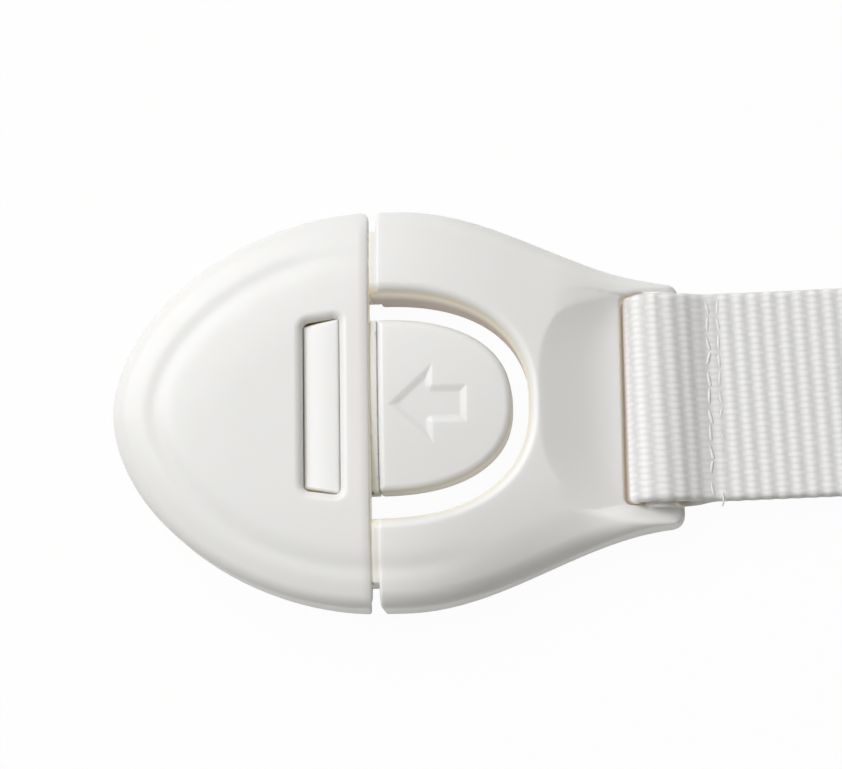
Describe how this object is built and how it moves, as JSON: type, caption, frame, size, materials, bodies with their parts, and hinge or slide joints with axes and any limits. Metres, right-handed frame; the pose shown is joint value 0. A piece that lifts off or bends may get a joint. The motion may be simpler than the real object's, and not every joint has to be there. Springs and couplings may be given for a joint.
{
  "type": "cabinet safety lock",
  "caption": "Stick-on cabinet safety lock: a domed latch, a push-button buckle that slides into it, and a sewn webbing strap that leads to a second stick-on anchor.",
  "frame": {"origin": "middle of the latch's adhesive face, on the cabinet's surface", "axes": "+X from the latch along the strap to the anchor, +Y across the lock, +Z away from the cabinet"},
  "size_m": [0.1886, 0.039, 0.0088],
  "materials": {
    "housing": "ivory-white moulded plastic, satin",
    "plate": "ivory-white moulded plastic, matt",
    "foam": "white acrylic foam tape",
    "liner": "pale siliconised release film",
    "webbing": "white ribbed polyester webbing",
    "thread": "white polyester thread"
  },
  "bodies": {
    "latch": {"latch_cover": "housing", "latch_back_plate": "plate", "latch_adhesive_pad": "foam", "latch_release_liner": "liner"},
    "buckle": {"buckle_frame": "housing"},
    "button": {"press_button": "housing", "latch_arm": "housing"},
    "strap_near_half": {"strap_near": "webbing", "near_stitching": "thread"},
    "strap_far_half": {"strap_far": "webbing", "far_stitching": "thread"},
    "anchor": {"anchor_cover": "housing", "anchor_back_plate": "plate", "anchor_adhesive_pad": "foam", "anchor_release_liner": "liner"}
  },
  "joints": [
    {"name": "buckle_slide", "type": "slide", "parent": "latch", "child": "buckle", "axis": [1, 0, 0], "range_m": [0, 0.02], "deforming": ["latch_arm"]},
    {"name": "button_press", "type": "hinge", "parent": "buckle", "child": "button", "pos_m": [-0.00249, 0, 0.0049], "axis": [0, 1, 0], "range_deg": [0, 6.5], "stiffness_Nm_per_rad": 0.8},
    {"name": "strap_swing", "type": "hinge", "parent": "buckle", "child": "strap_near_half", "pos_m": [0.0403, 0, 0.0037], "axis": [0, -1, 0], "range_deg": [-90, 90]},
    {"name": "strap_fold", "type": "hinge", "parent": "strap_near_half", "child": "strap_far_half", "pos_m": [0.0903, 0, 0.00435], "axis": [0, -1, 0], "range_deg": [-90, 90]},
    {"name": "anchor_swing", "type": "hinge", "parent": "strap_far_half", "child": "anchor", "pos_m": [0.1403, 0, 0.0037], "axis": [0, -1, 0], "range_deg": [-90, 90]}
  ]
}
